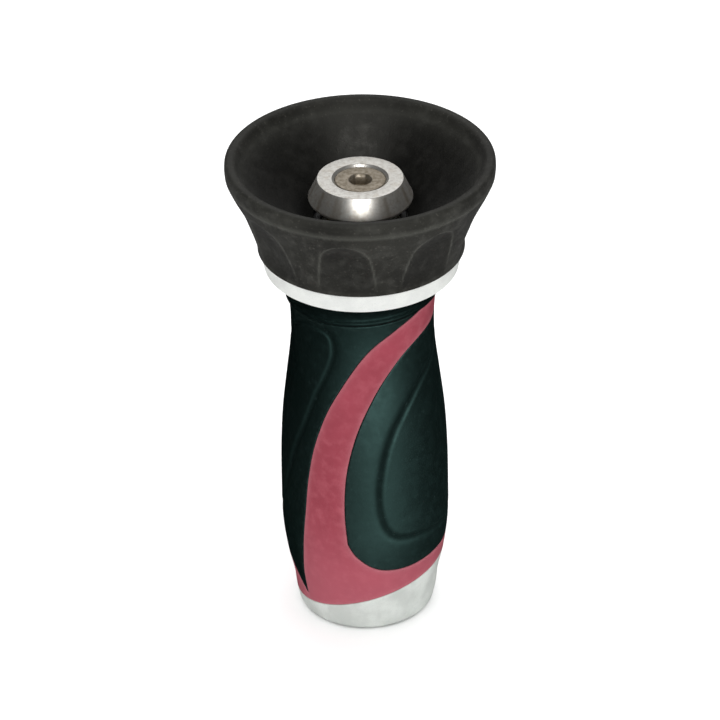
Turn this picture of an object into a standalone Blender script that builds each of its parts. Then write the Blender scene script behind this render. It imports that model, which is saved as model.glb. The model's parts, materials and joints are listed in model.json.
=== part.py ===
"""Twist-type fire hose nozzle with a flared rubber bumper and a palm-sized grip.

It stands on its inlet end: +Z runs from the hose inlet to the outlet, and the origin is the
centre of the inlet face. Sizes are in millimetres and become metres where a point is made.
Turn angles are in degrees: 0 faces -Y, 90 faces +X.
"""

from math import ceil, cos, pi, radians, sin, sqrt

import bmesh
import bpy
from mathutils import Vector

MM = 0.001
GAP = 0.3                      # between two pieces that touch

# Facets
SIDES = 30                     # round the grip, neck and sleeve
SMALL_SIDES = 24               # round the baffle, its screw and the seals
STEM_SIDES = 18
PIN_SIDES = 12                 # round the pins and the nut
THREAD_SIDES = 20              # along one turn of the hose thread
STATION = 360 / SIDES          # degrees between the grip's facet lines

# Overall
TOTAL_HEIGHT = 143.7
GRIP_OUTLINE = [               # (height, radius) of the palm grip, from the base to the waist
    (0, 18.9), (4, 20.0), (10, 20.7), (18, 22.4), (28, 23.6), (40, 23.7),
    (52, 23.5), (64, 22.8), (76, 21.4), (86, 20.2), (94, 19.9), (100, 20.2), (106, 21.0)]
BASE_LINE, BASE_TILT = 11.0, 6.6        # slanted edge between the bare base and the grip
COLLAR_LINE, COLLAR_TILT = 102.85, 0.9  # edge between the grip and the flared collar

# Barrel
NECK_R = 16.5
NECK_TOP = 123.4
WATERWAY_R = 11.5
THREAD_MINOR_R, THREAD_MAJOR_R, THREAD_PITCH = 12.4, 13.65, 25.4 / 11.5
SEAT_LOW, SEAT_TOP, SEAT_R = 10.9, 13.6, 13.9
SPIDER_SEAT, UPPER_BORE_R = 82.0, 12.8
SNAP_LOW, SNAP_TOP, SNAP_R = 91.3, 93.0, 13.7
ORING_LOW, ORING_TOP, ORING_FLOOR_R = 120.6, 122.4, 15.1

# Cam: two pins in the head ride in two helical grooves in the neck
PIN_HEIGHT, PIN_R, PIN_TIP_R = 113.2, 1.6, 1.5
CAM_TRAVEL, CAM_TURN = 4.8, 150.0
CAM_FLOOR_R, CAM_HALF_WIDTH, CAM_END_TURN = 14.7, 1.8, 8.0
PIN_ANGLES = {"cam_pin_right": 90.0, "cam_pin_left": -90.0}

# Grip
PANEL_THICKNESS = 1.6
MEAN_GRIP_R = 22.0             # turns grip angles into lengths when an outline is drawn flat

# Head
SLEEVE_BORE_R = NECK_R + GAP
SLEEVE_LOW, RING_LOW, RING_TOP = 104.3, 110.9, 116.5
SLEEVE_R, SLEEVE_TOP, THROAT_R, THROAT_RIM = 24.2, 125.1, 10.8, 125.4
GUIDE_LOW, GUIDE_TOP, GUIDE_GROOVE_R = 115.2, 117.2, 18.4
FLUTES, FLUTE_PHASE = 8, -8.0
BUMPER_COLUMNS = FLUTES * 6
BUMPER_WALL = [                # (height, radius) between the flutes, from the foot to the lip
    (116.8, 28.6), (120, 29.0), (123.5, 30.05), (127, 31.25), (130.5, 32.5), (133.5, 33.9),
    (135.8, 35.1), (139.4, 36.7)]
FLUTE_DEPTHS = [(116.8, 0.1), (120, 0.8), (123.5, 1.0), (127, 0.95), (130.5, 0.8), (133.5, 0.45),
                (135.8, 0), (139.4, 0)]
FLUTE_HALF_WIDTHS = [          # (height, degrees): arches that narrow towards the lip
    (116.8, 15.8), (120, 15.2), (123.5, 14.4), (127, 13.3), (130.5, 11.9), (133.5, 9.0),
    (135.8, 1.0), (139.4, 1.0)]

# Stem and baffle
STEM_R, SCREW_R = 4.0, 3.0
STEM_FOOT, STEM_TOP = 76.5, 131.5
HUB_R, VANES, VANE_THICKNESS = 6.4, 3, 2.2
SPIDER_TOP = 91.2
BAFFLE_TOP, BAFFLE_UNDER = 137.5, 131.2
BAFFLE_TOP_R, BAFFLE_RIM_R, RECESS_R = 11.8, 14.4, 7.3

SILVER = (0.60, 0.61, 0.60, 1)
STEEL = (0.42, 0.40, 0.37, 1)
RED = (0.34, 0.07, 0.09, 1)
GREEN_BLACK = (0.010, 0.018, 0.017, 1)
BLACK_RUBBER = (0.028, 0.028, 0.026, 1)
BLACK_SEAL = (0.015, 0.015, 0.015, 1)
WHITE_ACETAL = (0.75, 0.74, 0.70, 1)
BRASS = (0.60, 0.42, 0.16, 1)


# Helpers -------------------------------------------------------------------------------------

def polar(radius, angle, height):
    """A point in metres from a radius, a turn angle and a height."""
    turn = radians(angle)
    return Vector((radius * sin(turn), -radius * cos(turn), height)) * MM


def finish_mesh(name, bm, material, smooth_angle=35):
    """Make an object from a bmesh, with faces outwards and round faces shaded smooth."""
    bmesh.ops.remove_doubles(bm, verts=bm.verts, dist=1e-7)
    bmesh.ops.recalc_face_normals(bm, faces=bm.faces)
    mesh = bpy.data.meshes.new(name)
    bm.to_mesh(mesh)
    bm.free()
    mesh.shade_smooth()
    mesh.set_sharp_from_angle(angle=radians(smooth_angle))
    if material:
        mesh.materials.append(material)
    obj = bpy.data.objects.new(name, mesh)
    bpy.context.scene.collection.objects.link(obj)
    return obj


def paint(name, color, metallic, roughness):
    """A Principled BSDF material of one colour."""
    material = bpy.data.materials.new(name)
    material.use_nodes = True
    shader = material.node_tree.nodes["Principled BSDF"]
    shader.inputs["Base Color"].default_value = color
    shader.inputs["Metallic"].default_value = metallic
    shader.inputs["Roughness"].default_value = roughness
    return material


def turned(name, outline, material=None, sides=SIDES, phase=0.0):
    """Turn a closed outline of (radius, height) points round Z.

    The outline is a list, or a function of the turn angle where the piece isn't quite round.
    Points on the axis join into one.
    """
    bm = bmesh.new()
    columns = []
    for i in range(sides):
        angle = phase + 360 * i / sides
        points = outline(angle) if callable(outline) else outline
        columns.append([bm.verts.new(polar(r, angle, z)) for r, z in points])
    count = len(columns[0])
    on_axis = [v.co.to_2d().length < 1e-9 for v in columns[0]]
    for i, column in enumerate(columns):
        following = columns[(i + 1) % sides]
        for j in range(count):
            k = (j + 1) % count
            corners = [column[j], following[j], following[k], column[k]]
            if on_axis[j] and on_axis[k]:
                continue
            if on_axis[j]:
                corners.remove(following[j])
            if on_axis[k]:
                corners.remove(following[k])
            bm.faces.new(corners)
    return finish_mesh(name, bm, material)


def tube_along(name, sections, material=None):
    """Join closed sections, each a list of points, into one capped solid."""
    bm = bmesh.new()
    rings = [[bm.verts.new(point) for point in section] for section in sections]
    for first, second in zip(rings, rings[1:]):
        for j in range(len(first)):
            k = (j + 1) % len(first)
            bm.faces.new([first[j], first[k], second[k], second[j]])
    bm.faces.new(rings[0])
    bm.faces.new(rings[-1])
    return finish_mesh(name, bm, material)


def helix_cutter(name, section, start_angle, end_angle, start_height, rise_per_turn,
                 sides=SIDES):
    """A cutter that carries a section of (radius, height offset) points along a helix."""
    steps = ceil((end_angle - start_angle) * sides / 360)
    sections = []
    for i in range(steps + 1):
        angle = start_angle + (end_angle - start_angle) * i / steps
        height = start_height + rise_per_turn * (angle - start_angle) / 360
        sections.append([polar(r, angle, height + dz) for r, dz in section])
    return tube_along(name, sections)


def cut(obj, cutter):
    """Subtract a cutter, which isn't part of the object."""
    cutter.hide_render = True
    cutter.display_type = 'WIRE'
    boolean = obj.modifiers.new(cutter.name, 'BOOLEAN')
    boolean.operation = 'DIFFERENCE'
    boolean.solver = 'EXACT'
    boolean.object = cutter


def ring_section(center_r, center_z, section_r, points=6):
    """The round section of a seal, as an outline."""
    turns = [2 * pi * (i + 0.5) / points for i in range(points)]
    return [(center_r + section_r * cos(t), center_z + section_r * sin(t)) for t in turns]


def hexagon_r(across_flats, angle):
    """Distance from the centre to a hexagon's side at a turn angle."""
    return across_flats / 2 / cos(radians((angle + 30) % 60 - 30))


def smooth_value(knots, x):
    """Catmull-Rom curve through (x, y) knots, read at x."""
    last = len(knots) - 1
    i = max(n for n in range(last) if n == 0 or knots[n][0] <= x)
    x1, y1 = knots[i]
    x2, y2 = knots[i + 1]
    x0, y0 = knots[max(i - 1, 0)]
    x3, y3 = knots[min(i + 2, last)]
    slope1 = (y2 - y0) / (x2 - x0)
    slope2 = (y3 - y1) / (x3 - x1)
    span = x2 - x1
    t = min(max((x - x1) / span, 0), 1)
    return ((2 * t**3 - 3 * t**2 + 1) * y1 + (t**3 - 2 * t**2 + t) * span * slope1
            + (3 * t**2 - 2 * t**3) * y2 + (t**3 - t**2) * span * slope2)


def smooth_path(points, samples):
    """Catmull-Rom path through (x, y) points, without its last point."""
    path = []
    for i in range(len(points) - 1):
        p1, p2 = Vector(points[i]), Vector(points[i + 1])
        p0 = Vector(points[i - 1]) if i > 0 else p1
        p3 = Vector(points[i + 2]) if i + 2 < len(points) else p2
        for n in range(samples):
            t = n / samples
            path.append(0.5 * (2 * p1 + (p2 - p0) * t + (2 * p0 - 5 * p1 + 4 * p2 - p3) * t**2
                               + (3 * p1 - p0 - 3 * p2 + p3) * t**3))
    return path


def grip_r(height):
    return smooth_value(GRIP_OUTLINE, height)


def base_line(angle):
    return BASE_LINE + BASE_TILT * sin(radians(angle))


def collar_line(angle):
    return COLLAR_LINE + COLLAR_TILT * sin(radians(angle))


def between(low, high, steps):
    return [low + (high - low) * i / steps for i in range(steps + 1)]


# Barrel and what is fixed in it --------------------------------------------------------------

def barrel_outline(angle):
    shelf = base_line(angle) - GAP / 2
    inlet = [(THREAD_MINOR_R + 0.6, 0), (THREAD_MINOR_R, 0.6), (THREAD_MINOR_R, SEAT_LOW),
             (SEAT_R, SEAT_LOW), (SEAT_R, SEAT_TOP), (WATERWAY_R, SEAT_TOP)]
    bore = [(WATERWAY_R, SPIDER_SEAT), (UPPER_BORE_R, SPIDER_SEAT), (UPPER_BORE_R, SNAP_LOW),
            (SNAP_R, SNAP_LOW), (SNAP_R, SNAP_TOP), (UPPER_BORE_R, SNAP_TOP)]
    neck = [(UPPER_BORE_R, NECK_TOP), (NECK_R - 0.3, NECK_TOP), (NECK_R, NECK_TOP - 0.3),
            (NECK_R, ORING_TOP), (ORING_FLOOR_R, ORING_TOP), (ORING_FLOOR_R, ORING_LOW),
            (NECK_R, ORING_LOW), (NECK_R, shelf)]
    base = [(grip_r(z), z) for z in reversed(between(1.6, shelf, 4))]
    foot = [(grip_r(0) - 0.1, 0.6), (grip_r(0) - 0.7, 0)]
    return inlet + bore + neck + base + foot


def make_barrel():
    barrel = turned("barrel", barrel_outline, paint("barrel", SILVER, 1.0, 0.35))
    half_width = THREAD_PITCH * 0.42
    thread = [(THREAD_MINOR_R - 0.3, -half_width), (THREAD_MAJOR_R, 0),
              (THREAD_MINOR_R - 0.3, half_width)]
    thread_low, thread_high = -THREAD_PITCH / 2, SEAT_LOW + 1.0
    thread_turn = 360 * (thread_high - thread_low) / THREAD_PITCH
    cut(barrel, helix_cutter("cut_hose_thread", thread, 5, 5 + thread_turn, thread_low,
                             THREAD_PITCH, THREAD_SIDES))
    groove = [(CAM_FLOOR_R, -CAM_HALF_WIDTH), (NECK_R + 1, -CAM_HALF_WIDTH),
              (NECK_R + 1, CAM_HALF_WIDTH), (CAM_FLOOR_R, CAM_HALF_WIDTH)]
    cam_pitch = CAM_TRAVEL * 360 / CAM_TURN
    for pin, angle in PIN_ANGLES.items():
        start = angle - CAM_END_TURN
        end = angle + CAM_TURN + CAM_END_TURN
        height = PIN_HEIGHT - CAM_END_TURN * cam_pitch / 360
        cut(barrel, helix_cutter(f"cut_groove_for_{pin}", groove, start, end, height, cam_pitch))


def make_hose_washer():
    low, top, hole, rim = SEAT_LOW + 0.1, SEAT_TOP - GAP, 9.2, SEAT_R - 0.4
    outline = [(hole, low), (hole, top), (rim, top), (rim, low)]
    turned("hose_washer", outline, paint("hose_washer", BLACK_SEAL, 0, 0.7), SMALL_SIDES)


def make_spider():
    low, rim = SPIDER_SEAT + GAP, UPPER_BORE_R - GAP
    inner_rim = rim - 1.3
    hole = STEM_R + GAP
    outline = [(hole, low), (hole, SPIDER_TOP), (rim, SPIDER_TOP), (rim, low)]
    spider = turned("spider", outline, paint("spider", BRASS, 1.0, 0.35))
    window = 360 / VANES
    for i in range(VANES):
        middle = window * i + window / 2
        sections = []
        for step in range(9):
            share = step / 4 - 1
            corners = []
            for radius in (HUB_R, inner_rim):
                half = window / 2 - VANE_THICKNESS / 2 / radius * 180 / pi
                angle = middle + share * half
                corners += [polar(radius, angle, low - 1), polar(radius, angle, SPIDER_TOP + 1)]
            corners[2], corners[3] = corners[3], corners[2]
            sections.append(corners)
        cut(spider, tube_along(f"cut_spider_window_{i + 1}", sections))


def make_retaining_ring():
    low, top = SNAP_LOW + GAP, SNAP_TOP - GAP
    inner, outer = UPPER_BORE_R - 1.2, SNAP_R - GAP
    opening = 36
    angles = between(180 + opening / 2, 540 - opening / 2, 20)
    sections = [[polar(inner, a, low), polar(outer, a, low), polar(outer, a, top),
                 polar(inner, a, top)] for a in angles]
    tube_along("spider_retaining_ring", sections, paint("spider_retaining_ring", STEEL, 1, 0.4))


def make_barrel_oring():
    middle = (ORING_LOW + ORING_TOP) / 2
    section_r = 0.7
    center_r = NECK_R + 0.15 - section_r
    turned("barrel_oring", ring_section(center_r, middle, section_r),
           paint("barrel_oring", BLACK_SEAL, 0, 0.5))


# Grip ----------------------------------------------------------------------------------------

# The red core shows between the two black panels as a band that sweeps up each side. These are
# the band's two edges on the front, as (turn angle, height). The back repeats them half a turn on.
BAND_LEFT_EDGE = [(58, 104.1), (27, 99.5), (1, 92.2), (-24, 77.3), (-36, 64.3), (-42, 52),
                  (-45.8, 38), (-49.5, 25)]
BAND_RIGHT_EDGE = [(-12.5, 32), (-14.4, 43), (-12.5, 56), (-5, 68.7), (7, 79), (20, 86),
                   (35, 91.3), (53, 94.4), (76, 96.3), (90, 98.8), (101.5, 104.4)]
FRONT_FOOT = [(129, 18.8), (115, 21.2), (90, 22.6), (60, 22.6), (28, 22), (8, 23.3), (-6, 27.6),
              (-12.5, 32)]
REAR_TIP = [(-49.5, 25), (-55, 12), (-54.9, 7.6)]
REAR_FOOT = [(-54.9, 7.6), (-62, 10), (-80, 16.6), (-110, 20.6), (-150, 21.6), (-172, 23.3),
             (-186, 27.6), (-192.5, 32)]


def half_turn_on(points, turn=180):
    return [(angle + turn, height) for angle, height in points]


def panel_edge_line(angle):
    """Height of the panels' top edge, just below the collar."""
    return collar_line(angle) - 1.5 * GAP


def panel_outline(edges, samples):
    """Join smooth edges into one flat outline, closed along the collar."""
    path = [point for edge in edges for point in smooth_path(edge, samples)]
    path.append(Vector(edges[-1][-1]))
    outline = []
    for point, following in zip(path, path[1:]):
        room, next_room = (panel_edge_line(p.x) - p.y for p in (point, following))
        if room > 0:
            outline.append(point)
        if room * next_room < 0:
            angle = point.lerp(following, room / (room - next_room)).x
            outline.append(Vector((angle, panel_edge_line(angle))))
    for angle in between(outline[-1].x, outline[0].x, 12)[1:-1]:
        outline.append(Vector((angle, panel_edge_line(angle))))
    return outline


def grown(outline, distance):
    """Move a flat anticlockwise or clockwise outline outwards by a distance in mm."""
    scale = MEAN_GRIP_R * pi / 180
    flat = [Vector((p.x * scale, p.y)) for p in outline]
    count = len(flat)
    area = sum(flat[i - 1].cross(flat[i]) for i in range(count))
    side = 1 if area > 0 else -1
    result = []
    for i in range(count):
        before = (flat[i] - flat[i - 1]).normalized()
        after = (flat[(i + 1) % count] - flat[i]).normalized()
        normal = (before + after).normalized()
        spread = max(sqrt(max((1 + before.dot(after)) / 2, 0)), 0.35)
        moved = flat[i] + Vector((normal.y, -normal.x)) * side * distance / spread
        result.append(Vector((moved.x / scale, moved.y)))
    return result


def wrapped_slab(name, outline, inner_depth, outer_rise, material=None):
    """A slab with a flat outline of (angle, height) points, wrapped on to the grip's surface."""
    bm = bmesh.new()
    bm.faces.new([bm.verts.new((p.x, p.y, -inner_depth)) for p in outline])
    low_angle, high_angle = min(p.x for p in outline), max(p.x for p in outline)
    low_height, high_height = min(p.y for p in outline), max(p.y for p in outline)
    stations = [n * STATION for n in range(ceil(low_angle / STATION), ceil(high_angle / STATION))]
    levels = [z for z, _ in GRIP_OUTLINE if low_height < z < high_height]
    cuts = [((a, 0, 0), (1, 0, 0)) for a in stations] + [((0, z, 0), (0, 1, 0)) for z in levels]
    for place, normal in cuts:
        geometry = bm.verts[:] + bm.edges[:] + bm.faces[:]
        bmesh.ops.bisect_plane(bm, geom=geometry, plane_co=place, plane_no=normal, dist=1e-5)
    bmesh.ops.triangulate(bm, faces=bm.faces[:])
    extruded = bmesh.ops.extrude_face_region(bm, geom=bm.faces[:], use_keep_orig=True)
    for element in extruded["geom"]:
        if isinstance(element, bmesh.types.BMVert):
            element.co.z = outer_rise
    for vert in bm.verts:
        angle, height, depth = vert.co
        vert.co = polar(grip_r(height) + depth, angle, height)
    return finish_mesh(name, bm, material, 50)


def pocket_cutter(name, outline):
    """The pocket that a panel lies in: a gap wider all round, and open at the collar end."""
    at_collar = [p.y > panel_edge_line(p.x) - 0.001 for p in outline]
    pocket = []
    for i, place in enumerate(grown(outline, GAP)):
        raised = Vector((place.x, place.y + 3))
        if not at_collar[i]:
            pocket.append(place)
        elif not at_collar[i - 1]:
            pocket += [place, raised]
        elif not at_collar[(i + 1) % len(outline)]:
            pocket += [raised, place]
        else:
            pocket.append(raised)
    return wrapped_slab(name, pocket, PANEL_THICKNESS + GAP, 3)


def core_outline(angle):
    low, high = base_line(angle) + GAP / 2, collar_line(angle) - GAP / 2
    levels = [low] + [z for z, _ in GRIP_OUTLINE if 20 < z < 98] + [high]
    inner = [(SLEEVE_BORE_R, low), (SLEEVE_BORE_R, high)]
    return inner + [(grip_r(z), z) for z in reversed(levels)]


def make_grip():
    core = turned("grip_core", core_outline, paint("grip_core", RED, 0, 0.45))
    rear_edges = [BAND_LEFT_EDGE, REAR_TIP, REAR_FOOT, half_turn_on(BAND_RIGHT_EDGE, -180)]
    front_edges = [half_turn_on(BAND_LEFT_EDGE[:-1]) + FRONT_FOOT[:1], FRONT_FOOT,
                   BAND_RIGHT_EDGE]
    for name, edges in (("grip_panel_rear", rear_edges), ("grip_panel_front", front_edges)):
        outline = panel_outline(edges, 2)
        cut(core, pocket_cutter(f"cut_pocket_for_{name}", outline))
        wrapped_slab(name, outline, PANEL_THICKNESS, 0, paint(name, GREEN_BLACK, 0, 0.55))


def collar_outline(angle):
    low = collar_line(angle) + GAP / 2
    top, skirt_room, inner_step = RING_LOW - 0.5, 19.0, SLEEVE_LOW - 0.25
    return [(SLEEVE_BORE_R, low), (SLEEVE_BORE_R, inner_step), (skirt_room, inner_step),
            (skirt_room, top), (23.4, top), (23.7, top - 0.4), (22.3, 107.4), (21.2, 105.2),
            (21.2, low + 0.3), (20.9, low)]


def make_grip_collar():
    turned("grip_collar", collar_outline, paint("grip_collar", GREEN_BLACK, 0, 0.5))


# Stem and baffle -----------------------------------------------------------------------------

def make_stem():
    shoulder_r, shoulder_low, shoulder_top = 5.6, SPIDER_TOP + GAP, SPIDER_TOP + 2.1
    hole, hole_floor = SCREW_R + GAP, 116.0
    outline = [(0, STEM_FOOT), (STEM_R - 0.4, STEM_FOOT), (STEM_R, STEM_FOOT + 0.4),
               (STEM_R, shoulder_low), (shoulder_r, shoulder_low), (shoulder_r, shoulder_top),
               (STEM_R, shoulder_top), (STEM_R, STEM_TOP), (hole, STEM_TOP), (hole, hole_floor),
               (0, hole_floor - 1)]
    turned("stem", outline, paint("stem", BRASS, 1.0, 0.3), STEM_SIDES)


def make_stem_nut():
    top, height, hole, across_flats = SPIDER_SEAT, 4.4, STEM_R + GAP, 12.7

    def outline(angle):
        side = hexagon_r(across_flats, angle)
        return [(hole, top - height), (hole, top), (side, top), (side, top - height)]
    turned("stem_nut", outline, paint("stem_nut", STEEL, 1.0, 0.3), PIN_SIDES)


def make_baffle():
    hub_r, hub_low, seat = 6.6, 127.0, 131.8
    washer_floor, head_floor = 133.2, 134.1
    seal_in, seal_out, seal_top = 10.5, 13.1, 132.7
    outline = [(RECESS_R, BAFFLE_TOP - 0.2), (RECESS_R + 0.2, BAFFLE_TOP),
               (BAFFLE_TOP_R - 0.3, BAFFLE_TOP), (BAFFLE_TOP_R, BAFFLE_TOP - 0.3),
               (BAFFLE_RIM_R, BAFFLE_UNDER + 0.8), (BAFFLE_RIM_R, BAFFLE_UNDER + 0.2),
               (BAFFLE_RIM_R - 0.2, BAFFLE_UNDER), (seal_out, BAFFLE_UNDER),
               (seal_out, seal_top), (seal_in, seal_top), (seal_in, BAFFLE_UNDER),
               (hub_r + 1, BAFFLE_UNDER), (hub_r, BAFFLE_UNDER - 1), (hub_r, hub_low),
               (STEM_R + GAP, hub_low), (STEM_R + GAP, seat), (SCREW_R + GAP, seat),
               (SCREW_R + GAP, washer_floor), (6.0, washer_floor), (6.0, head_floor),
               (RECESS_R, head_floor)]
    turned("baffle", outline, paint("baffle", SILVER, 1.0, 0.2), SMALL_SIDES)
    turned("baffle_seal", ring_section((seal_in + seal_out) / 2, 131.4, 1.0),
           paint("baffle_seal", BLACK_SEAL, 0, 0.5), SMALL_SIDES)
    low, top = washer_floor + GAP, head_floor
    washer = [(SCREW_R + GAP, low), (SCREW_R + GAP, top), (5.7, top), (5.7, low)]
    turned("screw_lock_washer", washer, paint("screw_lock_washer", STEEL, 1, 0.4), STEM_SIDES)


def make_baffle_screw():
    head_low, head_top, head_r = 134.4, 136.1, 7.0
    foot, socket_floor, across_flats, socket_rim = 118.0, 133.2, 4.8, 3.2

    def outline(angle):
        side = hexagon_r(across_flats, angle)
        return [(0, socket_floor), (side, socket_floor), (side, head_top - 0.4),
                (socket_rim, head_top), (head_r - 0.3, head_top), (head_r, head_top - 0.3),
                (head_r, head_low), (SCREW_R, head_low), (SCREW_R, foot + 0.5),
                (SCREW_R - 0.5, foot), (0, foot)]
    turned("baffle_screw", outline, paint("baffle_screw", STEEL, 1.0, 0.4), SMALL_SIDES)


# Turning head --------------------------------------------------------------------------------

def make_guide_ring():
    low, top = GUIDE_LOW + GAP, GUIDE_TOP - GAP
    inner, outer = SLEEVE_BORE_R + 0.05, GUIDE_GROOVE_R - GAP
    outline = [(inner, low), (inner, top), (outer, top), (outer, low)]
    turned("guide_ring", outline, paint("guide_ring", WHITE_ACETAL, 0, 0.4))


def make_head_sleeve():
    outline = [(SLEEVE_BORE_R, SLEEVE_LOW), (SLEEVE_BORE_R, GUIDE_LOW),
               (GUIDE_GROOVE_R, GUIDE_LOW), (GUIDE_GROOVE_R, GUIDE_TOP),
               (SLEEVE_BORE_R, GUIDE_TOP), (SLEEVE_BORE_R, NECK_TOP + GAP),
               (THROAT_R, NECK_TOP + GAP), (THROAT_R, THROAT_RIM - 0.3),
               (THROAT_R + 0.3, THROAT_RIM), (THROAT_R + 1.6, THROAT_RIM),
               (THROAT_R + 1.8, SLEEVE_TOP), (SLEEVE_R, SLEEVE_TOP), (SLEEVE_R, RING_TOP),
               (27.7, RING_TOP), (27.9, RING_TOP - 0.3), (26.8, RING_LOW + 0.3),
               (26.5, RING_LOW), (SLEEVE_BORE_R + 1.8, RING_LOW),
               (SLEEVE_BORE_R + 1.8, SLEEVE_LOW)]
    sleeve = turned("head_sleeve", outline, paint("head_sleeve", SILVER, 1.0, 0.35))
    hole = [(0, 10), (PIN_R + GAP, 10), (PIN_R + GAP, 40), (0, 40)]
    for name, angle in PIN_ANGLES.items():
        drill = turned(f"cut_hole_for_{name}", hole, sides=PIN_SIDES, phase=15)
        place_radially(drill, angle)
        cut(sleeve, drill)


def place_radially(obj, angle):
    """Lay a piece made along Z so that it points outwards from the axis at the pins' height."""
    obj.location = polar(0, 0, PIN_HEIGHT)
    obj.rotation_euler = (radians(90), 0, radians(angle))


def make_cam_pins():
    tip, tip_end, outer_end, socket_floor, across_flats = 15.0, 17.2, 25.6, 23.2, 2.0

    def outline(angle):
        side = hexagon_r(across_flats, angle)
        return [(0, tip), (PIN_TIP_R - 0.2, tip), (PIN_TIP_R, tip + 0.2), (PIN_TIP_R, tip_end),
                (PIN_R, tip_end + 0.5), (PIN_R, outer_end - 0.3), (PIN_R - 0.3, outer_end),
                (side, outer_end), (side, socket_floor), (0, socket_floor)]
    for name, angle in PIN_ANGLES.items():
        pin = turned(name, outline, paint(name, STEEL, 1.0, 0.35), PIN_SIDES)
        place_radially(pin, angle)


def wall_r(angle, height):
    """Radius of the bumper's fluted wall at a turn angle and one of its heights."""
    pitch = 360 / FLUTES
    off = (angle - FLUTE_PHASE + pitch / 2) % pitch - pitch / 2
    share = off / dict(FLUTE_HALF_WIDTHS)[height]
    return dict(BUMPER_WALL)[height] - dict(FLUTE_DEPTHS)[height] * max(1 - share**2, 0)


def bumper_outline(angle):
    wall = [(wall_r(angle, z), z) for z, _ in BUMPER_WALL]
    lip = [(36.9, 141.9), (36.4, 143.2), (35.3, TOTAL_HEIGHT), (34.1, 143.0), (32.4, 140.4)]
    bowl = [(17.5, 127.9), (15.2, 126.25), (THROAT_R + 2.1, 126.2)]
    bore_r, bore_top, foot = SLEEVE_R + GAP, SLEEVE_TOP + GAP, RING_TOP + GAP
    socket = [(THROAT_R + 2.1, bore_top), (bore_r, bore_top), (bore_r, foot)]
    return wall + lip + bowl + socket


def make_head_bumper():
    material = paint("head_bumper", BLACK_RUBBER, 0, 0.75)
    turned("head_bumper", bumper_outline, material, BUMPER_COLUMNS, FLUTE_PHASE)


def clear_scene():
    for obj in list(bpy.data.objects):
        bpy.data.objects.remove(obj, do_unlink=True)


clear_scene()
make_barrel()
make_hose_washer()
make_spider()
make_retaining_ring()
make_barrel_oring()
make_grip()
make_grip_collar()
make_stem()
make_stem_nut()
make_baffle()
make_baffle_screw()
make_guide_ring()
make_head_sleeve()
make_cam_pins()
make_head_bumper()
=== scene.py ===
"""Looks of the twist-type hose nozzle: fine meshes, materials, camera and light.

Lengths are in millimetres and become metres where a mesh is made. Turn angles are in degrees:
0 faces -Y, 90 faces +X. Heights are above the inlet face.
"""

import json
from math import cos, exp, pi, radians, sin

import bmesh
import bpy
import numpy as np
from mathutils import Matrix, Vector
from mathutils.geometry import delaunay_2d_cdt


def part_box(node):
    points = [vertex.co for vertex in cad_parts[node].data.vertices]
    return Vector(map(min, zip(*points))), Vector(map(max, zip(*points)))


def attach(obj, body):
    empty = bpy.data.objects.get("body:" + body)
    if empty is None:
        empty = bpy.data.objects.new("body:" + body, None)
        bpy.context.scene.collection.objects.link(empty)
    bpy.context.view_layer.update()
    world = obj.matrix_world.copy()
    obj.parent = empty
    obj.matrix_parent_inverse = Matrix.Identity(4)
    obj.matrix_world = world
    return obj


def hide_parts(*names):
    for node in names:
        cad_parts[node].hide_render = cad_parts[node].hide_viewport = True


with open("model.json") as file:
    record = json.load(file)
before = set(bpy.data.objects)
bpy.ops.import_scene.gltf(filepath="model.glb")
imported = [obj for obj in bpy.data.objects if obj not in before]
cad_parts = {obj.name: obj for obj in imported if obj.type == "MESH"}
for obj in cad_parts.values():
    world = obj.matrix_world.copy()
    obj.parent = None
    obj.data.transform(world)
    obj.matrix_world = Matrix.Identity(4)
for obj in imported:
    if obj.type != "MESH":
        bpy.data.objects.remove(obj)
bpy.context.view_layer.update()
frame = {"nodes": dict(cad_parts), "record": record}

MM = 0.001
record = frame["record"]
BODIES = {node: body for body, nodes in record["behaviour"]["bodies"].items() for node in nodes}


# Sizes from the frame ------------------------------------------------------------------------

def low_of(node):
    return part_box(node)[0].z / MM


def high_of(node):
    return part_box(node)[1].z / MM


def radius_of(node):
    low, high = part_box(node)
    return max(high.x, -low.x, high.y, -low.y) / MM


TOTAL_HEIGHT = high_of("head_bumper")
LIP_R = radius_of("head_bumper")
BUMPER_FOOT = low_of("head_bumper")
NECK_TOP = high_of("barrel")
RING_TOP = BUMPER_FOOT - 0.3
SLEEVE_LOW, THROAT_RIM = low_of("head_sleeve"), high_of("head_sleeve")
SLEEVE_TOP = THROAT_RIM - 0.3
COLLAR_TOP = high_of("grip_collar")
RING_LOW = COLLAR_TOP + 0.5
BAFFLE_TOP, BAFFLE_RIM_R = high_of("baffle"), radius_of("baffle")
SCREW_FOOT, SCREW_TOP, SCREW_HEAD_R = (low_of("baffle_screw"), high_of("baffle_screw"),
                                       radius_of("baffle_screw"))
PIN_HEIGHT = (low_of("cam_pin_right") + high_of("cam_pin_right")) / 2

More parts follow.
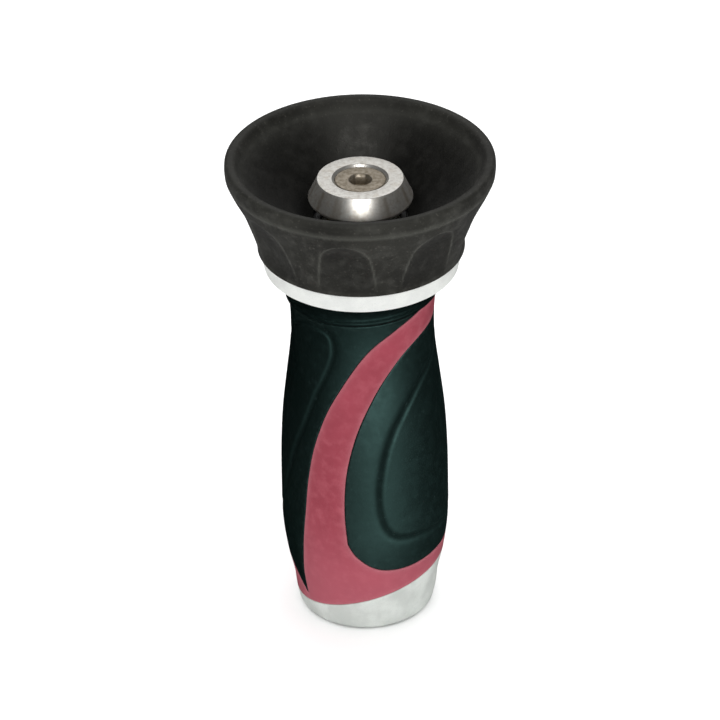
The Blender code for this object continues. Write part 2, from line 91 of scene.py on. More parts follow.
GRIP_OUTLINE = [               # (height, radius) of the palm grip, from the base to the waist
    (0, 18.9), (4, 20.0), (10, 20.7), (18, 22.4), (28, 23.6), (40, 23.7),
    (52, 23.5), (64, 22.8), (76, 21.4), (86, 20.2), (94, 19.9), (100, 20.2), (106, 21.0)]
BASE_LINE, BASE_TILT = 11.0, 6.6        # slanted edge between the bare base and the grip
COLLAR_LINE, COLLAR_TILT = 102.85, 0.9  # edge between the grip and the flared collar
NECK_R, SLEEVE_BORE_R, UPPER_BORE_R, WATERWAY_R = 16.5, 16.8, 12.8, 11.5
WATERWAY_TOP = 82.0            # where the bore widens for the spider
SNAP_LOW, SNAP_TOP, SNAP_R = 91.3, 93.0, 13.7       # groove of the snap ring in the bore
ORING_LOW, ORING_TOP, ORING_R = 120.6, 122.4, 15.1  # groove of the O-ring on the neck
GUIDE_LOW, GUIDE_TOP, GUIDE_R = 115.2, 117.2, 18.4  # groove of the guide ring in the sleeve
THROAT_LOW, THROAT_R = 123.7, 10.8                  # bottom and bore of the sleeve's throat
PIN_ANGLES = {"cam_pin_right": 90.0, "cam_pin_left": -90.0}
PIN_R, PIN_TIP_R, PIN_HOLE_R = 1.6, 1.5, 1.8
PIN_TIP_END, PIN_TIP_TOP, PIN_HEAD_END = 15.0, 17.2, 25.6  # distances from the axis
FLUTES, FLUTE_PHASE = 8, -8.0

ROUND = 192                    # columns round a large turned piece
SEAM = 0.05                    # gap that shows between two grip pieces
MEAN_GRIP_R = 22.0             # turns grip angles into lengths along the surface
MM_PER_DEGREE = MEAN_GRIP_R * pi / 180


# Mesh helpers --------------------------------------------------------------------------------

def polar(radius, angle, height):
    turn = radians(angle)
    return Vector((radius * sin(turn), -radius * cos(turn), height)) * MM


def add_object(name, bm, material, smooth_angle=40):
    """Make a piece from a bmesh, with faces outwards and round faces shaded smooth."""
    bmesh.ops.remove_doubles(bm, verts=bm.verts, dist=2e-8)
    bmesh.ops.recalc_face_normals(bm, faces=bm.faces)
    mesh = bpy.data.meshes.new(name)
    bm.to_mesh(mesh)
    bm.free()
    mesh.shade_smooth()
    mesh.set_sharp_from_angle(angle=radians(smooth_angle))
    mesh.materials.append(material)
    obj = bpy.data.objects.new(name, mesh)
    bpy.context.scene.collection.objects.link(obj)
    return obj


def stand_for(obj, node):
    """Show a fine piece instead of a CAD node, on the node's body."""
    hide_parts(node)
    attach(obj, BODIES[node])


def turned(name, outline, material, columns=ROUND, phase=0.0, wear=None):
    """Turn a closed outline of (radius, height) points round Z.

    The outline is a list, or a function of the turn angle. wear(angle, radius, height) is kept
    on the points, for the material.
    """
    bm = bmesh.new()
    layer = bm.verts.layers.float.new("wear")
    rings = []
    for i in range(columns):
        angle = phase + 360 * i / columns
        points = outline(angle) if callable(outline) else outline
        ring = []
        for r, z in points:
            vert = bm.verts.new(polar(r, angle, z))
            vert[layer] = wear(angle, r, z) if wear else 0.0
            ring.append(vert)
        rings.append(ring)
    count = len(rings[0])
    on_axis = [v.co.to_2d().length < 1e-9 for v in rings[0]]
    for i, ring in enumerate(rings):
        following = rings[(i + 1) % columns]
        for j in range(count):
            k = (j + 1) % count
            if on_axis[j] and on_axis[k]:
                continue
            corners = [ring[j], following[j], following[k], ring[k]]
            if on_axis[j]:
                corners.remove(following[j])
            if on_axis[k]:
                corners.remove(following[k])
            bm.faces.new(corners)
    return add_object(name, bm, material)


def rounded(corners, steps=5):
    """An outline from (radius, height, fillet) corners: a fillet of 0 or none stays sharp."""
    outline = []
    count = len(corners)
    for i, corner in enumerate(corners):
        here = Vector(corner[:2])
        fillet = corner[2] if len(corner) > 2 else 0
        if not fillet:
            outline.append(tuple(here))
            continue
        before = Vector(corners[i - 1][:2]) - here
        after = Vector(corners[(i + 1) % count][:2]) - here
        half = before.angle(after) / 2
        reach = min(fillet / np.tan(half), before.length * 0.49, after.length * 0.49)
        fillet = reach * np.tan(half)
        toward = (before.normalized() + after.normalized()).normalized()
        center = here + toward * fillet / sin(half)
        start = here + before.normalized() * reach - center
        end = here + after.normalized() * reach - center
        turn = start.angle_signed(end)
        for step in range(steps + 1):
            spoke = start.copy()
            spoke.rotate(Matrix.Rotation(-turn * step / steps, 2))
            outline.append(tuple(center + spoke))
    return outline


def hexagon_r(across_flats, angle):
    return across_flats / 2 / cos(radians((angle + 30) % 60 - 30))


def cut_away(obj, cutter):
    """Subtract a cutter and remove it."""
    boolean = obj.modifiers.new("cut", 'BOOLEAN')
    boolean.operation = 'DIFFERENCE'
    boolean.solver = 'EXACT'
    boolean.object = cutter
    graph = bpy.context.evaluated_depsgraph_get()
    mesh = bpy.data.meshes.new_from_object(obj.evaluated_get(graph))
    obj.modifiers.clear()
    obj.data = mesh
    mesh.name = obj.name
    while len(mesh.materials) > 1:
        mesh.materials.pop()
    mesh.set_sharp_from_angle(angle=radians(40))
    bpy.data.objects.remove(cutter)


def hermite(x, x1, x2, y1, y2, slope1, slope2):
    span = x2 - x1
    t = np.clip((x - x1) / span, 0, 1)
    return ((2 * t**3 - 3 * t**2 + 1) * y1 + (t**3 - 2 * t**2 + t) * span * slope1
            + (3 * t**2 - 2 * t**3) * y2 + (t**3 - t**2) * span * slope2)


def smooth_value(knots, x):
    """Catmull-Rom curve through (x, y) knots, read at a number or an array."""
    knots_x, knots_y = np.array(knots, float).T
    slopes = np.gradient(knots_y, knots_x)
    slopes[1:-1] = (knots_y[2:] - knots_y[:-2]) / (knots_x[2:] - knots_x[:-2])
    i = np.clip(np.searchsorted(knots_x, x, side='right') - 1, 0, len(knots) - 2)
    return hermite(x, knots_x[i], knots_x[i + 1], knots_y[i], knots_y[i + 1], slopes[i],
                   slopes[i + 1])


def smooth_path(points, step, closed=False):
    """Catmull-Rom path of (angle, height) points, about step mm apart on the grip."""
    points = np.array(points, float)
    count = len(points)
    path = []
    for i in range(count if closed else count - 1):
        around = np.arange(i - 1, i + 3)
        around = around % count if closed else np.clip(around, 0, count - 1)
        p0, p1, p2, p3 = points[around]
        samples = max(1, round(np.linalg.norm(to_surface(p2 - p1)) / step))
        for n in range(samples):
            t = n / samples
            path.append(0.5 * (2 * p1 + (p2 - p0) * t + (2 * p0 - 5 * p1 + 4 * p2 - p3) * t**2
                               + (3 * p1 - p0 - 3 * p2 + p3) * t**3))
    if not closed:
        path.append(points[-1])
    return np.array(path)


def grip_r(height):
    return smooth_value(GRIP_OUTLINE, height)


def base_line(angle):
    return BASE_LINE + BASE_TILT * np.sin(np.radians(angle))


def collar_line(angle):
    return COLLAR_LINE + COLLAR_TILT * np.sin(np.radians(angle))


# Grip outlines -------------------------------------------------------------------------------

# The red core shows between the two black panels as a band that sweeps up each side. These are
# the band's two edges on the front, as (turn angle, height). The back repeats them half a turn on.
BAND_LEFT_EDGE = [(58, 104.1), (27, 99.5), (1, 92.2), (-24, 77.3), (-36, 64.3), (-42, 52),
                  (-45.8, 38), (-49.5, 25)]
BAND_RIGHT_EDGE = [(-12.5, 32), (-14.4, 43), (-12.5, 56), (-5, 68.7), (7, 79), (20, 86),
                   (35, 91.3), (53, 94.4), (76, 96.3), (90, 98.8), (101.5, 104.4)]
FRONT_FOOT = [(129, 18.8), (115, 21.2), (90, 22.6), (60, 22.6), (28, 22), (8, 23.3), (-6, 27.6),
              (-12.5, 32)]
REAR_TIP = [(-49.5, 25), (-55, 12), (-54.9, 7.6)]
REAR_FOOT = [(-54.9, 7.6), (-62, 10), (-80, 16.6), (-110, 20.6), (-150, 21.6), (-172, 23.3),
             (-186, 27.6), (-192.5, 32)]
# The leaf pressed into each panel, as the middle of its groove. The rear one is half a turn on.
LEAF = [(10, 49), (10.6, 43.7), (13.2, 38.8), (17.2, 35.6), (23.5, 33.6), (33, 32.7), (46, 32.1),
        (62, 31.2), (78, 31), (93, 33), (106, 40), (115, 49), (122.7, 58), (131.7, 67),
        (140.5, 77.2), (149, 84.6), (155, 90.7), (155.7, 94.6), (153, 97.8), (145.5, 99.5),
        (134, 99.7), (120, 98.2), (104, 93.8), (88, 88.5), (66, 83.6), (50, 80.6), (35.7, 75.6),
        (24.3, 70), (18, 65), (14, 60), (11.4, 54.5)]


OUTLINE_STEP = 0.5             # mm between the points of an outline on the grip
ROW_SPACING = 0.866            # rows of even triangles, as a share of their side
CHUNK = 2000                   # points measured at once, to save memory


def half_turn_on(points, turn=180):
    return [(angle + turn, height) for angle, height in points]


def panel_outline(edges, top_line):
    """Join smooth edges into one outline, closed along the collar at top_line(angle)."""
    path = np.concatenate([smooth_path(edge, OUTLINE_STEP)[:-1] for edge in edges]
                          + [np.array([edges[-1][-1]], float)])
    room = top_line(path[:, 0]) - path[:, 1]
    outline = []
    for i in range(len(path) - 1):
        if room[i] > 0:
            outline.append(path[i])
        if room[i] * room[i + 1] < 0:
            share = room[i] / (room[i] - room[i + 1])
            angle = path[i, 0] + (path[i + 1, 0] - path[i, 0]) * share
            outline.append(np.array([angle, top_line(angle)]))
    first, last = outline[0][0], outline[-1][0]
    count = max(2, round((first - last) * MM_PER_DEGREE / OUTLINE_STEP))
    for n in range(1, count):
        angle = last + (first - last) * n / count
        outline.append(np.array([angle, top_line(angle)]))
    return np.array(outline)


def to_surface(points):
    """(angle, height) to lengths in mm along the grip's surface."""
    return points * np.array([MM_PER_DEGREE, 1.0])


def from_surface(points):
    return points / np.array([MM_PER_DEGREE, 1.0])


def side_normals(outline):
    """Outward normals of a closed outline in surface lengths."""
    flat = to_surface(outline)
    ahead = np.roll(flat, -1, axis=0) - np.roll(flat, 1, axis=0)
    ahead /= np.linalg.norm(ahead, axis=1)[:, None]
    following = np.roll(flat, -1, axis=0)
    area = np.sum(flat[:, 0] * following[:, 1] - flat[:, 1] * following[:, 0])
    return np.stack([ahead[:, 1], -ahead[:, 0]], axis=1) * np.sign(area)


def moved_out(outline, distance):
    """A closed outline moved outwards (or in, if negative) by a distance in mm."""
    return from_surface(to_surface(outline) + side_normals(outline) * distance)


def distance_to(points, outline):
    """Distance in mm from each (angle, height) point to a closed outline."""
    flat, start = to_surface(points), to_surface(outline)
    along = np.roll(start, -1, axis=0) - start
    length = np.maximum((along**2).sum(1), 1e-12)
    result = np.empty(len(flat))
    for i in range(0, len(flat), CHUNK):
        away = flat[i:i + CHUNK, None, :] - start[None]
        t = np.clip((away * along).sum(2) / length, 0, 1)
        result[i:i + CHUNK] = np.sqrt(((away - along * t[..., None])**2).sum(2).min(1))
    return result


def inside(points, outline):
    """Which (angle, height) points lie inside a closed outline."""
    x, y = points[:, 0], points[:, 1]
    result = np.zeros(len(points), bool)
    x1, y1 = outline[-1]
    for x2, y2 in outline:
        crosses = (y1 > y) != (y2 > y)
        if crosses.any():
            at = (x2 - x1) * (y[crosses] - y1) / (y2 - y1) + x1
            result[crosses] ^= x[crosses] < at
        x1, y1 = x2, y2
    return result


def scattered(outline, spacing, keep_off):
    """A staggered grid of points inside an outline, clear of its edge."""
    flat = to_surface(outline)
    low, high = flat.min(0), flat.max(0)
    rows = np.arange(low[1], high[1], spacing * ROW_SPACING)
    points = []
    for n, y in enumerate(rows):
        xs = np.arange(low[0] + (n % 2) * spacing / 2, high[0], spacing)
        points.append(np.stack([xs, np.full(len(xs), y)], axis=1))
    points = from_surface(np.concatenate(points))
    points = points[inside(points, outline)]
    return points[distance_to(points, outline) > keep_off]


# The grip is meshed on a disc: turn angle round it, and height as the logarithm of the distance
# from its centre. That keeps shapes, has no seam, and lets outlines cross any side.
def to_disc(points):
    turn = np.radians(points[:, 0])
    reach = np.exp(points[:, 1] / MEAN_GRIP_R)
    return np.stack([reach * np.sin(turn), -reach * np.cos(turn)], axis=1)


def from_disc(points):
    reach = np.hypot(points[:, 0], points[:, 1])
    return np.stack([np.degrees(np.arctan2(points[:, 0], -points[:, 1])),
                     np.log(reach) * MEAN_GRIP_R], axis=1)


def mesh_region(loops, loose):
    """Triangles over closed loops and loose points: (points, triangles), on the grip."""
    points, edges = [], []
    for loop in loops:
        first = len(points)
        points += list(to_disc(loop))
        edges += [(first + i, first + (i + 1) % len(loop)) for i in range(len(loop))]
    for group in loose:
        points += list(to_disc(group))
    found = delaunay_2d_cdt([Vector(p) for p in points], edges, [], 0, 1e-6)
    return from_disc(np.array([tuple(p) for p in found[0]])), np.array(found[2])


def unwrapped(points, middle):
    """Turn angles brought within half a turn of a middle angle."""
    result = points.copy()
    result[:, 0] = (points[:, 0] - middle + 180) % 360 + middle - 180
    return result


def edge_drop(distance, rounding):
    """How far a rounded edge lies below its surface, at a distance in from the edge."""
    inward = np.clip(rounding - distance, 0, rounding)
    return rounding - np.sqrt(np.maximum(rounding**2 - inward**2, 0))


def skin_bmesh(points, radii, triangles, wear, hollow=None):
    """An open skin on the grip, with how pale its edges are (worn, and on the core a painted
    highlight) and how hollow it is kept on its points.
    """
    bm = bmesh.new()
    wear_and_light_layer = bm.verts.layers.float.new("wear")
    hollow_layer = bm.verts.layers.float.new("hollow")
    verts = []
    for n, (angle, height) in enumerate(points):
        vert = bm.verts.new(polar(radii[n], angle, height))
        vert[wear_and_light_layer] = wear[n]
        vert[hollow_layer] = 0 if hollow is None else hollow[n]
        verts.append(vert)
    for a, b, c in triangles:
        bm.faces.new((verts[a], verts[b], verts[c]))
    return bm


# Pieces of the grip --------------------------------------------------------------------------

PANEL_THICKNESS, PANEL_ROUNDING = 1.6, 0.35
PANEL_INSETS = (0.07, 0.16, 0.27, 0.42)   # rows of points that round a panel's edge
PANEL_SPACING, PANEL_MARGIN = 0.55, 0.62
PANEL_TOP_DROP, POCKET_TOP_RISE = 0.5, 1.5  # from the edge of the collar
POCKET_CLEARANCE = 0.15        # between a panel and its pocket's floor
CORE_ROUNDING = 0.22
CORE_INSETS = (0.06, 0.13, 0.24)
CORE_STEP = 1.2                # degrees
CORE_MARGIN, POCKET_MARGIN = 0.7, 0.6
HIDDEN_SPACING, HIDDEN_MARGIN = 3.0, 1.5
LEAF_DEPTH, LEAF_INNER_WIDTH, LEAF_OUTER_WIDTH = 0.52, 0.7, 1.3
LEAF_BEAD, LEAF_BEAD_OFFSET, LEAF_BEAD_WIDTH = 0.03, 1.35, 0.6
LEAF_FADE, LEAF_FADE_TURN, LEAF_FADE_WIDTH = 0.75, 10, 22
PANEL_WEAR_WIDTH, CORE_WEAR_AND_LIGHT_WIDTH = 0.8, 0.6


def leaf_relief(points, leaf):
    """Relief round the leaf, and how deep in its groove each point is, from 0 to 1.

    The groove is soft outside and steep inside, where a low bead runs along it. It fades
    halfway round the leaf, at the side of the nozzle.
    """
    away = distance_to(points, leaf)
    inner = inside(points, leaf)
    turn = points[:, 0] - (leaf[:, 0].min() + leaf[:, 0].max()) / 2
    strength = 1 - LEAF_FADE * np.exp(-((turn - LEAF_FADE_TURN) / LEAF_FADE_WIDTH)**2)
    width = np.where(inner, LEAF_INNER_WIDTH, LEAF_OUTER_WIDTH)
    depth = np.exp(-(away / width)**2) * strength
    bead = LEAF_BEAD * np.exp(-((away - LEAF_BEAD_OFFSET) / LEAF_BEAD_WIDTH)**2) * strength
    return np.where(inner, bead, 0) - LEAF_DEPTH * depth, depth


def edge_row(outline, inset):
    """A row of points along an outline, inwards if the inset is negative, without loops."""
    row = moved_out(outline, inset)
    return row[distance_to(row, outline) > abs(inset) * 0.9]


def mesh_inside(outline, loose, middle):
    points, triangles = mesh_region([outline], loose)
    points = unwrapped(points, middle)
    return points, triangles[inside(points[triangles].mean(1), outline)]


def make_panel(name, edges, leaf, middle, material):
    """A soft panel. Its turn angles lie within half a turn of the middle angle."""
    outline = panel_outline(edges, lambda angle: collar_line(angle) - PANEL_TOP_DROP)
    outline = moved_out(outline, -SEAM / 2)
    rows = [edge_row(outline, -inset) for inset in PANEL_INSETS]
    rows = [row[inside(row, outline)] for row in rows]
    points, triangles = mesh_inside(
        outline, rows + [scattered(outline, PANEL_SPACING, PANEL_MARGIN)], middle)
    away = distance_to(points, outline)
    top_r = grip_r(points[:, 1]) - edge_drop(away, PANEL_ROUNDING)
    relief, depth = leaf_relief(points, leaf)
    bm = skin_bmesh(points, top_r + relief * np.clip(away / 1.2, 0, 1), triangles,
                    np.exp(-away / PANEL_WEAR_WIDTH), depth)
    # The same outline again for the hidden underside, with a few inner points
    under, under_triangles = mesh_inside(
        outline, [scattered(outline, HIDDEN_SPACING, HIDDEN_MARGIN)], middle)
    verts = [bm.verts.new(polar(r, a, z)) for (a, z), r
             in zip(under, grip_r(under[:, 1]) - PANEL_THICKNESS)]
    for a, b, c in under_triangles:
        bm.faces.new((verts[c], verts[b], verts[a]))
    add_wall(bm, outline, grip_r(outline[:, 1]) - PANEL_ROUNDING,
             grip_r(outline[:, 1]) - PANEL_THICKNESS)
    stand_for(add_object(f"{name}_skin", bm, material, 50), name)


def add_wall(bm, loop, outer, inner):
    """Faces across a closed loop, from one radius to another."""
    top = [bm.verts.new(polar(r, a, z)) for (a, z), r in zip(loop, outer)]
    low = [bm.verts.new(polar(r, a, z)) for (a, z), r in zip(loop, inner)]
    for i in range(len(loop)):
        k = (i + 1) % len(loop)
        bm.faces.new((top[i], top[k], low[k], low[i]))


def make_grip(panel_material, red_material):
    front_side = half_turn_on(BAND_LEFT_EDGE)[:-1] + [FRONT_FOOT[0]]
    front_edges = [front_side, FRONT_FOOT, BAND_RIGHT_EDGE]
    rear_edges = [BAND_LEFT_EDGE, REAR_TIP, REAR_FOOT, half_turn_on(BAND_RIGHT_EDGE, -180)]
    pockets = []
    for name, edges, turn, middle in (("grip_panel_front", front_edges, 0, 110),
                                      ("grip_panel_rear", rear_edges, -180, -70)):
        leaf = smooth_path(half_turn_on(LEAF, turn), OUTLINE_STEP, closed=True)
        make_panel(name, edges, leaf, middle, panel_material)
        pocket = panel_outline(edges, lambda angle: collar_line(angle) + POCKET_TOP_RISE)
        pockets.append((moved_out(pocket, SEAM / 2), middle))
    make_core(pockets, red_material)


def make_core(pockets, material):
    """The red core: a sleeve with two pockets, rounded along every edge that shows."""
    around = np.arange(0, 360, CORE_STEP)
    low = np.stack([around, low_edge(around)], axis=1)
    high = np.stack([around, high_edge(around)], axis=1)
    loose = [row for inset in CORE_INSETS for row in (low + [0, inset], high - [0, inset])]
    band = np.array([(angle + (n % 2) * CORE_STEP, height)
                     for n, height in enumerate(np.arange(1, 106, 1.0))
                     for angle in np.arange(0, 360, 2 * CORE_STEP)])
    room = np.minimum(band[:, 1] - base_line(band[:, 0]), collar_line(band[:, 0]) - band[:, 1])
    band = band[room > CORE_MARGIN]
    for outline, middle in pockets:
        here = unwrapped(band, middle)
        band = band[~inside(here, outline) & (distance_to(here, outline) >= POCKET_MARGIN)]
        loose.append(scattered(outline, HIDDEN_SPACING, HIDDEN_MARGIN))
        for inset in CORE_INSETS:
            row = edge_row(outline, inset)
            loose.append(row[collar_line(row[:, 0]) - row[:, 1] > 0.3])
    loose = [g[(g[:, 1] > base_line(g[:, 0]) + 0.05) & (g[:, 1] < collar_line(g[:, 0]) - 0.04)]
             for g in loose]
    points, triangles = mesh_region([low, high] + [p[0] for p in pockets], loose + [band])
    centers = from_disc(to_disc(points)[triangles].mean(1))
    kept = inside_disc(centers, high) & ~inside_disc(centers, low)
    triangles, centers = triangles[kept], centers[kept]
    sunk = np.zeros(len(triangles), bool)
    away = np.minimum(points[:, 1] - low_edge(points[:, 0]),
                      high_edge(points[:, 0]) - points[:, 1])
    for outline, middle in pockets:
        sunk |= inside(unwrapped(centers, middle), outline)
        away = np.minimum(away, distance_to(unwrapped(points, middle), outline))
    away = np.maximum(away, 0)
    radii = grip_r(points[:, 1]) - edge_drop(away, CORE_ROUNDING)
    bm = skin_bmesh(points, radii, triangles[~sunk], np.exp(-away / CORE_WEAR_AND_LIGHT_WIDTH))
    floor_r = grip_r(points[:, 1]) - PANEL_THICKNESS - POCKET_CLEARANCE
    floor = {}
    for triangle in triangles[sunk]:
        for v in triangle:
            if v not in floor:
                floor[v] = bm.verts.new(polar(floor_r[v], *points[v]))
        bm.faces.new([floor[v] for v in triangle])
    bm.verts.ensure_lookup_table()
    # Walls stand where a sunk triangle meets one that isn't
    owners = {}
    for n, triangle in enumerate(triangles):
        for a, b in zip(triangle, np.roll(triangle, -1)):
            owners.setdefault((min(a, b), max(a, b)), []).append(n)
    for (a, b), sides in owners.items():
        if len(sides) == 2 and sunk[sides[0]] != sunk[sides[1]]:
            bm.faces.new((bm.verts[a], bm.verts[b], floor[b], floor[a]))
    close_bore(bm, SLEEVE_BORE_R)
    stand_for(add_object("grip_core_skin", bm, material, 50), "grip_core")


def low_edge(angle):
    return base_line(angle) + SEAM / 2


def high_edge(angle):
    return collar_line(angle) - SEAM / 2


def inside_disc(points, loop):
    """Which points lie inside a loop that runs round the whole grip, tested on the disc."""
    return inside(to_disc(points), to_disc(loop))


def close_bore(bm, radius):
    """Close an open sleeve with its two end faces and its bore."""
    loose = [v for v in bm.verts if not v.link_faces]
    bmesh.ops.delete(bm, geom=loose, context='VERTS')
    rims = [e for e in bm.edges if len(e.link_faces) == 1]
    extruded = bmesh.ops.extrude_edge_only(bm, edges=rims)
    inner = [g for g in extruded["geom"] if isinstance(g, bmesh.types.BMVert)]
    for vert in inner:
        flat = vert.co.to_2d().normalized() * radius * MM
        vert.co.x, vert.co.y = flat
    bmesh.ops.remove_doubles(bm, verts=inner, dist=1e-7)
    rims = [e for e in bm.edges if len(e.link_faces) == 1]
    bmesh.ops.bridge_loops(bm, edges=rims)


# Materials -----------------------------------------------------------------------------------

class Shader:
    """A Principled material and short ways to wire procedural detail into it."""

    def __init__(self, name, **values):
        self.material = bpy.data.materials.new(name)
        self.material.use_nodes = True
        self.tree = self.material.node_tree
        self.main = self.tree.nodes["Principled BSDF"]
        for socket, value in values.items():
            self.main.inputs[socket.replace("_", " ")].default_value = value
        self.place = self.tree.nodes.new("ShaderNodeTexCoord").outputs["Object"]
        self.bumped = None

    def node(self, kind, **inputs):
        node = self.tree.nodes.new(kind)
        for name, value in inputs.items():
            self.put(node.inputs[name.replace("_", " ")], value)
        return node

    def put(self, socket, value):
        if isinstance(value, bpy.types.NodeSocket):
            self.tree.links.new(value, socket)
        else:
            socket.default_value = value

    def noise(self, size, detail=4, roughness=0.55, place=None):
        """Noise whose features are about size mm."""
        node = self.node("ShaderNodeTexNoise", Scale=1 / (size * MM), Detail=detail,
                         Roughness=roughness)
        self.tree.links.new(place or self.place, node.inputs["Vector"])
        return node.outputs["Fac"]

    def ramp(self, value, low, high, low_value=0.0, high_value=1.0):
        """Map a value from low..high to low_value..high_value, eased and clamped."""
        node = self.node("ShaderNodeMapRange", Value=value, From_Min=low, From_Max=high,
                         To_Min=low_value, To_Max=high_value)
        node.interpolation_type = 'SMOOTHSTEP'
        return node.outputs["Result"]

    def math(self, operation, *values):
        """A Math node on sockets or numbers."""
        node = self.tree.nodes.new("ShaderNodeMath")
        node.operation = operation
        for socket, value in zip(node.inputs, values):
            self.put(socket, value)
        return node.outputs[0]

    def mix(self, share, first, second):
        """From the first colour to the second as the share goes from 0 to 1."""
        node = self.tree.nodes.new("ShaderNodeMix")
        node.data_type = 'RGBA'
        self.put(node.inputs[0], share)
        self.put(node.inputs[6], first)
        self.put(node.inputs[7], second)
        return node.outputs[2]

    def kept(self, name):
        """A value kept on the mesh's points."""
        node = self.tree.nodes.new("ShaderNodeAttribute")
        node.attribute_name = name
        return node.outputs["Fac"]

    def color(self, value):
        self.put(self.main.inputs["Base Color"], value)

    def roughness(self, value):
        self.put(self.main.inputs["Roughness"], value)

    def bump(self, height, depth):
        """Add a relief of depth mm on top of what is there."""
        node = self.node("ShaderNodeBump", Strength=1.0, Distance=depth * MM, Height=height)
        if self.bumped:
            self.tree.links.new(self.bumped, node.inputs["Normal"])
        self.bumped = node.outputs["Normal"]
        self.tree.links.new(self.bumped, self.main.inputs["Normal"])

    def height(self):
        """Height above the inlet face, in metres."""
        return self.node("ShaderNodeSeparateXYZ", Vector=self.place).outputs[2]

    def radius(self):
        """Distance from the Z axis, in metres."""
        parts = self.node("ShaderNodeSeparateXYZ", Vector=self.place)
        squares = [self.math('MULTIPLY', parts.outputs[n], parts.outputs[n]) for n in (0, 1)]
        return self.math('SQRT', self.math('ADD', *squares))

    def turn_length(self, radius):
        """Coordinates that only change with the turn angle, as lengths at a radius in mm."""
        parts = self.node("ShaderNodeSeparateXYZ", Vector=self.place)
        turn = self.math('ARCTAN2', parts.outputs[0], parts.outputs[1])
        return self.node("ShaderNodeCombineXYZ",
                         X=self.math('MULTIPLY', turn, radius * MM)).outputs["Vector"]

    def rings(self):
        """Coordinates that only change with distance from the axis and height: turning marks."""
        return self.node("ShaderNodeCombineXYZ", X=self.radius(),
                         Z=self.height()).outputs["Vector"]


def rgb(red, green, blue):
    """A colour given as display values from 0 to 255."""
    def linear(value):
        value /= 255
        return value / 12.92 if value <= 0.04045 else ((value + 0.055) / 1.055)**2.4
    return (linear(red), linear(green), linear(blue), 1.0)


def grip_rubber():
    shader = Shader("soft_grip_rubber", Specular_Tint=(0.5, 1, 0.93, 1))
    broad, patches = shader.noise(16, 3), shader.noise(3.2, 5)
    base = shader.mix(shader.ramp(broad, 0.35, 0.65), rgb(3, 6, 5), rgb(5, 10, 9))
    base = shader.mix(shader.ramp(patches, 0.5, 0.75, 0, 0.35), base, rgb(24, 34, 34))
    hollow = shader.kept("hollow")
    # Painted shade: the colour darkens deep in the leaf's groove
    base = shader.mix(shader.math('MULTIPLY', hollow, 0.85), base, rgb(2, 5, 4))
    dust = shader.math('MULTIPLY', shader.kept("wear"),
                       shader.ramp(shader.noise(1.1, 3), 0.4, 0.7))
    base = shader.mix(shader.math('MULTIPLY', dust, 0.3), base, rgb(60, 70, 66))
    scuffs = shader.ramp(shader.noise(1.4, 8, 0.75), 0.55, 0.75, 0, 0.2)
    shader.color(shader.mix(scuffs, base, rgb(62, 80, 82)))
    shader.roughness(shader.math('ADD', shader.ramp(patches, 0.35, 0.65, 0.62, 0.52),
                                 shader.math('MULTIPLY', hollow, 0.3)))
    # Less shine up the grip, in the leaf's groove and on the collar
    shine = shader.math('MULTIPLY', shader.ramp(shader.height(), 30 * MM, 70 * MM, 1.05, 0.75),
                        shader.ramp(hollow, 0.1, 0.9, 1, 0.45))
    collar_share = shader.ramp(shader.height(), 101 * MM, 104 * MM, 1, 0.4)
    shine = shader.math('MULTIPLY', shine, collar_share)
    shader.put(shader.main.inputs["Specular IOR Level"], shine)
    shader.bump(shader.noise(0.35, 2), 0.018)
    shader.bump(patches, 0.05)
    return shader.material


def red_plastic():
    shader = Shader("red_grip_core", Specular_IOR_Level=0.3)
    broad, patches = shader.noise(14, 3), shader.noise(2.4, 5)
    base = shader.mix(shader.ramp(broad, 0.3, 0.7), rgb(148, 56, 70), rgb(158, 62, 77))
    base = shader.mix(shader.ramp(patches, 0.4, 0.75, 0, 0.45), base, rgb(172, 84, 96))
    base = shader.mix(shader.ramp(shader.height(), 8 * MM, 45 * MM, 0.4, 0), base,
                      rgb(188, 104, 118))
    # Pale pink along the core's edges: partly worn plastic, partly a painted highlight
    base = shader.mix(shader.math('MULTIPLY', shader.kept("wear"), 0.35), base,
                      rgb(190, 130, 138))
    # Painted shade: the pockets' floors are painted near black where the gap under the collar
    # shows them
    pocket_floor_shade = shader.math('MULTIPLY', shader.ramp(shader.height(), 97 * MM, 99 * MM),
                              shader.ramp(shader.radius(), 19.6 * MM, 20.0 * MM, 1, 0))
    shader.color(shader.mix(pocket_floor_shade, base, rgb(6, 6, 6)))
    shader.roughness(shader.ramp(patches, 0.3, 0.7, 0.5, 0.6))
    shader.bump(shader.noise(0.3, 2), 0.012)
    shader.bump(patches, 0.03)
    return shader.material


BOWL_SLOPE, BOWL_SHIFT = 1.19, -134.7     # the bowl's radius is slope * height + shift


